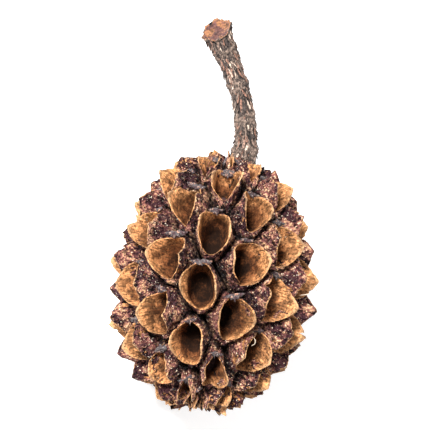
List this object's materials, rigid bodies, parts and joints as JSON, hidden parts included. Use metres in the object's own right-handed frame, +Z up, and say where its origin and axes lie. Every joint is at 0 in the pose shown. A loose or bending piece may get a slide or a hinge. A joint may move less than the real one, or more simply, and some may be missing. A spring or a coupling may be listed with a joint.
{
  "type": "casuarina cone",
  "caption": "Dried open casuarina cone lying on its side: whorls of paired woody valves round a core, on a curved bark-covered stalk.",
  "frame": {"origin": "middle of the underside of the bounding box, on the surface that the cone lies on", "axes": "+Y along the cone from its pointed free end towards the cut end of its stalk, +Z up as it lies, +X across it"},
  "size_m": [0.0244, 0.0468, 0.0238],
  "materials": {
    "dry_wood": "dry matt wood: dark warty purple-brown valve backs, orange-tan rims and smooth tan hollows",
    "stalk_bark": "grey-brown ridged bark with paler flakes"
  },
  "bodies": {
    "root": {"cone_head": "dry_wood", "stalk": "stalk_bark"}
  },
  "joints": []
}
